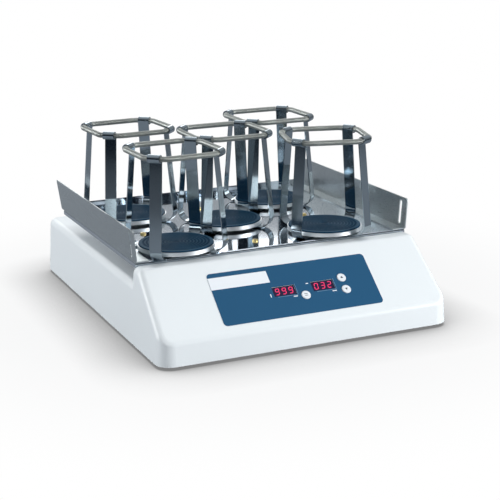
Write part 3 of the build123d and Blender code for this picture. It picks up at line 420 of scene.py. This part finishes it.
for spot, (x, y, low, high) in CLAMPS.items():
    profile, crests = ribbed_profile(low, high)
    verts, faces = turned(profile, (x, y), PAD_SEGMENTS, close=False)
    pad = add_piece(f"pad_{spot}", verts, faces, pad_rubber, "platform", smooth=False)
    # The second material is the painted highlight on the rim's top and the ribs' crests.
    pad.data.materials.append(painted_crest_highlight)
    for step in crests:
        for face in range(step * PAD_SEGMENTS, (step + 1) * PAD_SEGMENTS):
            pad.data.polygons[face].material_index = 1
    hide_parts(f"clamp_{spot}_pad")
print("pads", len(CLAMPS), "ribs", len(crests) - 2)

# %% [markdown]
# The ring is a long coil spring closed on itself and threaded through the four rolled strap ends. A
# helix is swept along the ring's line: eight points joined by straight runs, with rounded turns.

# %% Line of the ring
RING_HEIGHT = 128.0
TUBE = 7.4
WIRE = 1.0


def ring_line(line_radius, half_straight, corner, per_turn=8):
    """Closed rounded line round four straps, as points about the clamp's axis, in mm."""
    corners = []
    for quarter in range(4):
        a = math.radians(45 + 90 * quarter)
        for step in (-half_straight, half_straight):
            corners.append(Vector((line_radius * math.cos(a) - step * math.sin(a),
                                   line_radius * math.sin(a) + step * math.cos(a))))
    points = []
    count = len(corners)
    for i, here in enumerate(corners):
        back = (corners[i - 1] - here).normalized()
        ahead = (corners[(i + 1) % count] - here).normalized()
        half = back.angle(ahead) / 2
        reach = corner / math.tan(half)
        middle = here + (back + ahead).normalized() * (corner / math.sin(half))
        first = here + back * reach - middle
        swing = math.pi - 2 * half
        side = 1 if first.x * ahead.y - first.y * ahead.x > 0 else -1
        for k in range(per_turn + 1):
            a = side * swing * k / per_turn
            points.append(middle + Vector((first.x * math.cos(a) - first.y * math.sin(a),
                                           first.x * math.sin(a) + first.y * math.cos(a))))
    return points


def evenly(points, step):
    """The same closed line with evenly spaced points."""
    lengths = [(points[(i + 1) % len(points)] - points[i]).length for i in range(len(points))]
    total = sum(lengths)
    count = round(total / step)
    spaced, i, walked = [], 0, 0.0
    for k in range(count):
        target = total * k / count
        while walked + lengths[i] < target:
            walked += lengths[i]
            i += 1
        share = (target - walked) / max(lengths[i], 1e-9)
        spaced.append(points[i].lerp(points[(i + 1) % len(points)], share))
    return spaced


LINE_RADIUS = 60.5
CURL_HALF = 8
RING_CORNER = 14
low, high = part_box("clamp_centre_ring")
half_straight = CURL_HALF + RING_CORNER * math.tan(math.radians(22.5))
line = ring_line(LINE_RADIUS, half_straight, RING_CORNER)
print("ring points", len(line), "ring reach", round(max(p.x for p in line) + TUBE / 2, 2),
      "node", round((high.x - low.x) / 2 / MM, 2))

# %% [markdown]
# The wire of the spring is a second sweep. A point walks round the line while it circles it, nine steps
# to a turn, and a five-sided ring of vertices is set at each step. A curve object with a Screw modifier
# could wind a straight coil, but this one has to close on itself, so the number of turns is rounded to
# fit the line's length. One mesh is worked out and placed at all five clamps.

# %% Coil springs
def coil(points, height, tube, wire, sides=5, per_turn=9, pitch=1.12):
    """Helix of wire swept along a closed level line."""
    spaced = evenly(points, pitch / per_turn)
    turns = len(spaced) // per_turn
    spaced = evenly(points, sum((spaced[i] - spaced[i - 1]).length for i in range(len(spaced)))
                    / (turns * per_turn))
    count = turns * per_turn
    spaced = spaced[:count]
    radius = (tube - wire) / 2
    centre_line = []
    for i in range(count):
        ahead = (spaced[(i + 1) % count] - spaced[i - 1]).normalized()
        outward = Vector((ahead.y, -ahead.x))
        a = 2 * math.pi * i / per_turn
        flat = spaced[i] + outward * radius * math.cos(a)
        centre_line.append(Vector((flat.x, flat.y, height + radius * math.sin(a))))
    verts, faces = [], []
    for i in range(count):
        ahead = (centre_line[(i + 1) % count] - centre_line[i - 1]).normalized()
        level = Vector((spaced[i].x, spaced[i].y, height))
        outward = (centre_line[i] - level).normalized()
        across = ahead.cross(outward).normalized()
        for k in range(sides):
            a = 2 * math.pi * k / sides
            verts.append(centre_line[i] + (outward * math.cos(a) + across * math.sin(a)) * wire / 2)
    for i in range(count):
        j = (i + 1) % count
        for k in range(sides):
            k2 = (k + 1) % sides
            faces.append((i * sides + k, i * sides + k2, j * sides + k2, j * sides + k))
    return verts, faces, turns


coil_verts, coil_faces, turns = coil(line, PLATE_TOP + RING_HEIGHT, TUBE, WIRE)
for spot, (x, y, low_z, high_z) in CLAMPS.items():
    swing = Matrix.Rotation(TURN.get(spot, 0), 4, "Z")
    placed = [(swing @ v + Vector((x, y, 0))) * MM for v in coil_verts]
    spring = add_piece(f"spring_{spot}", placed, coil_faces, coil_steel, "platform")
    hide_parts(f"clamp_{spot}_ring")
print("turns", turns, "faces", len(coil_faces))

# %% [markdown]
# The control panel slopes at 40 degrees. Its marks are laid out across and up the slope from the middle
# of the crease, and this helper turns such a place into the model's frame.

# %% Places on the slope
SLOPE = math.radians(40)
CREASE = Vector((0, -243.257, 33.0))
UPHILL = Vector((0, math.cos(SLOPE), math.sin(SLOPE)))
PROUD = Vector((0, -math.sin(SLOPE), math.cos(SLOPE)))


def on_slope(across, up_slope, proud):
    """Point of the panel in metres."""
    return (CREASE + Vector((across, 0, 0)) + UPHILL * up_slope + PROUD * proud) * MM


def plaque(name, outline, low, high, material, body="housing"):
    """Thin plate on the slope with an outline of (across, up) points."""
    count = len(outline)
    verts = [on_slope(a, u, h) for h in (low, high) for a, u in outline]
    faces = [tuple(range(count))[::-1], tuple(range(count, 2 * count))]
    faces += [(k, (k + 1) % count, count + (k + 1) % count, count + k) for k in range(count)]
    return add_piece(name, verts, faces, material, body, smooth=False)


def rectangle(left, bottom, width, height):
    """Corners of an upright rectangle."""
    right_side, top = left + width, bottom + height
    return [(left, bottom), (right_side, bottom), (right_side, top), (left, top)]


print("panel", round(math.degrees(SLOPE), 1), "degrees")

# %% [markdown]
# The label is one printed film. A white field cuts in from its left edge and stays bare. Thin pale
# lines follow the windows, and short dashes stand where a panel is marked. Print could be a mask in
# the film's material, but thin plates keep crisp edges at any size and export as they are.

# %% Print on the label
FILM = 0.4
INK = 0.05
LABEL_LEFT = -111.45
WINDOW_MIDDLE = {"speed": -18.8, "time": 35.0}
WINDOW_WIDTH = 30.8
plaque("label_field", rectangle(LABEL_LEFT, 65.4, 78.6, 17.6), FILM, FILM + INK,
       label_white)
for name, window in (("left", "speed"), ("right", "time")):
    left = WINDOW_MIDDLE[window] - WINDOW_WIDTH / 2
    right_edge = left + WINDOW_WIDTH
    plaque(f"window_line_{name}_side", rectangle(right_edge + 1.0, 42.6, 0.35, 16), FILM, FILM + INK,
           label_line)
    plaque(f"window_line_{name}_foot", rectangle(left + 4, 42.2, 27.4, 0.35), FILM, FILM + INK,
           label_line)
DASHES = {"speed_foot": (-9.4, 39.7, 5.6, 1.3), "time_foot": (44.6, 39.5, 5.8, 1.3),
          "speed_side": (-39.2, 43.4, 1.2, 5.0), "time_side": (13.0, 55.6, 3.4, 1.3)}
for name, box in DASHES.items():
    plaque(f"dash_{name}", rectangle(*box), FILM, FILM + INK, label_white)
print("label pieces", 1 + 4 + len(DASHES))

# %% [markdown]
# Each window shows three lit digits. A digit is made of seven bars, of which some are lit. The bars
# lean a little, as on such displays.

# %% Digits
BARS = {"0": "abcdef", "2": "abdeg", "3": "abcdg", "9": "abcdfg"}


def bar_shapes(width, height, thick):
    """Outlines of the seven bars of a digit about its middle."""
    w, h, t = width / 2, height / 2, thick / 2
    gap = 0.18

    def level(y):
        return [(-w + t + gap, y), (-w + 2 * t + gap, y + t), (w - 2 * t - gap, y + t), (w - t - gap, y),
                (w - 2 * t - gap, y - t), (-w + 2 * t + gap, y - t)]

    def upright(x, low, high):
        return [(x, low + gap), (x + t, low + t + gap), (x + t, high - t - gap), (x, high - gap),
                (x - t, high - t - gap), (x - t, low + t + gap)]

    return {"a": level(h - t), "g": level(0), "d": level(-h + t),
            "f": upright(-w + t, 0, h - t), "b": upright(w - t, 0, h - t),
            "e": upright(-w + t, -h + t, 0), "c": upright(w - t, -h + t, 0)}


DIGIT_PITCH = 9.2
DIGIT_HEIGHT = 50.6
LEAN = 0.14
GLASS = -0.29
LIT_TOP = -0.15
shapes = bar_shapes(5.6, 9.6, 1.05)
bars_lit = 0
for window, text in (("speed", "999"), ("time", "032")):
    for k, digit in enumerate(text):
        middle = WINDOW_MIDDLE[window] + (k - 1) * DIGIT_PITCH
        for bar in BARS[digit]:
            outline = [(middle + px + LEAN * py, DIGIT_HEIGHT + py) for px, py in shapes[bar]]
            plaque(f"{window}_digit{k}_{bar}", outline, GLASS, LIT_TOP, lit)
            bars_lit += 1
print("bars lit", bars_lit)

# %% [markdown]
# The three caps carry small dark signs: a triangle up, a triangle down, and two short bars. They ride
# with their buttons.

# %% Signs on the buttons
CAP_TOP = 1.3
SIGN_INK = 0.04
PAIR_ACROSS = 64.0
SIGN_HALF = 1.9
signs = {
    "up_button": [[(PAIR_ACROSS - SIGN_HALF, 56.4), (PAIR_ACROSS + SIGN_HALF, 56.4),
                   (PAIR_ACROSS, 59.6)]],
    "down_button": [[(PAIR_ACROSS - SIGN_HALF, 41.2), (PAIR_ACROSS, 38.0),
                     (PAIR_ACROSS + SIGN_HALF, 41.2)]],
    "set_button": [rectangle(5.3, 41.0, 4.4, 0.7), rectangle(5.3, 38.6, 4.4, 0.7)],
}
for button, outlines in signs.items():
    for k, outline in enumerate(outlines):
        if sum(outline[i - 1][0] * outline[i][1] - outline[i][0] * outline[i - 1][1]
               for i in range(len(outline))) < 0:
            outline = outline[::-1]
        plaque(f"{button}_sign{k}", outline, CAP_TOP, CAP_TOP + SIGN_INK, sign_ink_and_slot_shade,
               body=button)
print("signs", len(signs))

# %% [markdown]
# Screws are small, yet the yellow ones catch the eye on the polished plate. A pan head with a hexagonal
# socket is turned, and the socket's ring of points is pulled to a hexagon. These replace the plain
# screws of the model.

# %% Screws of the plate
def screw(centre, seat, shank, head_radius=4.0, head_height=2.4, segments=36):
    """Pan head with a hexagonal socket, and its shank, in metres."""
    top = seat + head_height
    profile = [(0.01, seat - shank), (2.0, seat - shank), (2.0, seat), (head_radius, seat),
               (head_radius, seat + head_height * 0.45), (head_radius * 0.86, top - 0.25),
               (head_radius * 0.66, top), (1.55, top), (1.45, top - 1.3), (0.01, top - 1.3)]
    verts, faces = turned(profile, centre, segments, close=False)
    for ring in (7, 8):
        for k in range(segments):
            a = 2 * math.pi * k / segments
            side = (a % (math.pi / 3)) - math.pi / 6
            reach = 1.25 / math.cos(side)
            z = verts[ring * segments + k][2]
            verts[ring * segments + k] = ((centre[0] + reach * math.cos(a)) * MM,
                                          (centre[1] + reach * math.sin(a)) * MM, z)
    return verts, faces


SCREW_REACH_X = 119
SCREW_REACH_Y = 98
PLATE_SHANK = 8.0
CLAMP_SHANK = 6.8
CLAMP_SEAT = 2.7
heads, head_faces = [], []
middle = CLAMPS["centre"]
for across, along in ((-SCREW_REACH_X, 0), (SCREW_REACH_X, 0), (0, -SCREW_REACH_Y), (0, SCREW_REACH_Y)):
    verts, faces = screw((middle[0] + across, middle[1] + along), PLATE_TOP, PLATE_SHANK)
    head_faces += [tuple(i + len(heads) for i in f) for f in faces]
    heads += verts
for x, y, low_z, high_z in CLAMPS.values():
    verts, faces = screw((x, y), low_z - CLAMP_SEAT, CLAMP_SHANK)
    head_faces += [tuple(i + len(heads) for i in f) for f in faces]
    heads += verts
screws = add_piece("plate_screws", heads, head_faces, yellow_zinc, "platform",
                   smooth=False)
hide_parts("platform_screws")
print("screws", 4 + len(CLAMPS))

# %% [markdown]
# The fittings at the back lean with the drafted wall. The panel's face is a plane through a known
# point, and this helper sets places across and up that face, as the one for the slope does.

# %% Places on the back wall
BACK = math.radians(3.5)
WALL = 3.0
WALL_POINT = Vector((85, 245 - 37.5 * math.tan(BACK), 42))
OUTWARD = Vector((0, math.cos(BACK), math.sin(BACK)))
RISE = OUTWARD.cross(Vector((-1, 0, 0)))


def on_back(across, rise, proud):
    """Point on the rear panel's face in metres. Across runs towards the left side."""
    face = WALL_POINT - OUTWARD * WALL
    return (face + Vector((-across, 0, 0)) + RISE * rise + OUTWARD * proud) * MM


def back_block(name, left, low, width, height, bottom, top, material, body="housing"):
    """Small straight block on the rear panel."""
    corners = [(left, low), (left + width, low), (left + width, low + height), (left, low + height)]
    verts = [on_back(a, r, h) for h in (bottom, top) for a, r in corners]
    faces = [(3, 2, 1, 0), (4, 5, 6, 7), (0, 1, 5, 4), (1, 2, 6, 5), (2, 3, 7, 6), (3, 0, 4, 7)]
    return add_piece(name, verts, faces, material, body, smooth=False)


print("rise", RISE)

# %% [markdown]
# Small things make the back read as a real one: three blades in the inlet's socket, and the slot of the
# fuse holder's cap. They are plain blocks. The blades are what the real ones look like from outside; the
# slot is a thin dark plate laid on the cap, a painted shade where the real slot is a recess.

# %% Fittings at the back
for k, (across, rise) in enumerate(((32, 3.0), (25, -2.5), (39, -2.5))):
    back_block(f"inlet_blade{k}", across - 1.0, rise - 2.2, 2.0, 4.4, -14.2, -4.0, ground_steel)
# The slot is a thin dark plate: painted shade where the real slot is a recess.
back_block("fuse_slot_painted_shade", -36 - 3.6, -0.6, 7.2, 1.2, 1.9, 2.05, sign_ink_and_slot_shade)
print("back fittings", 4)
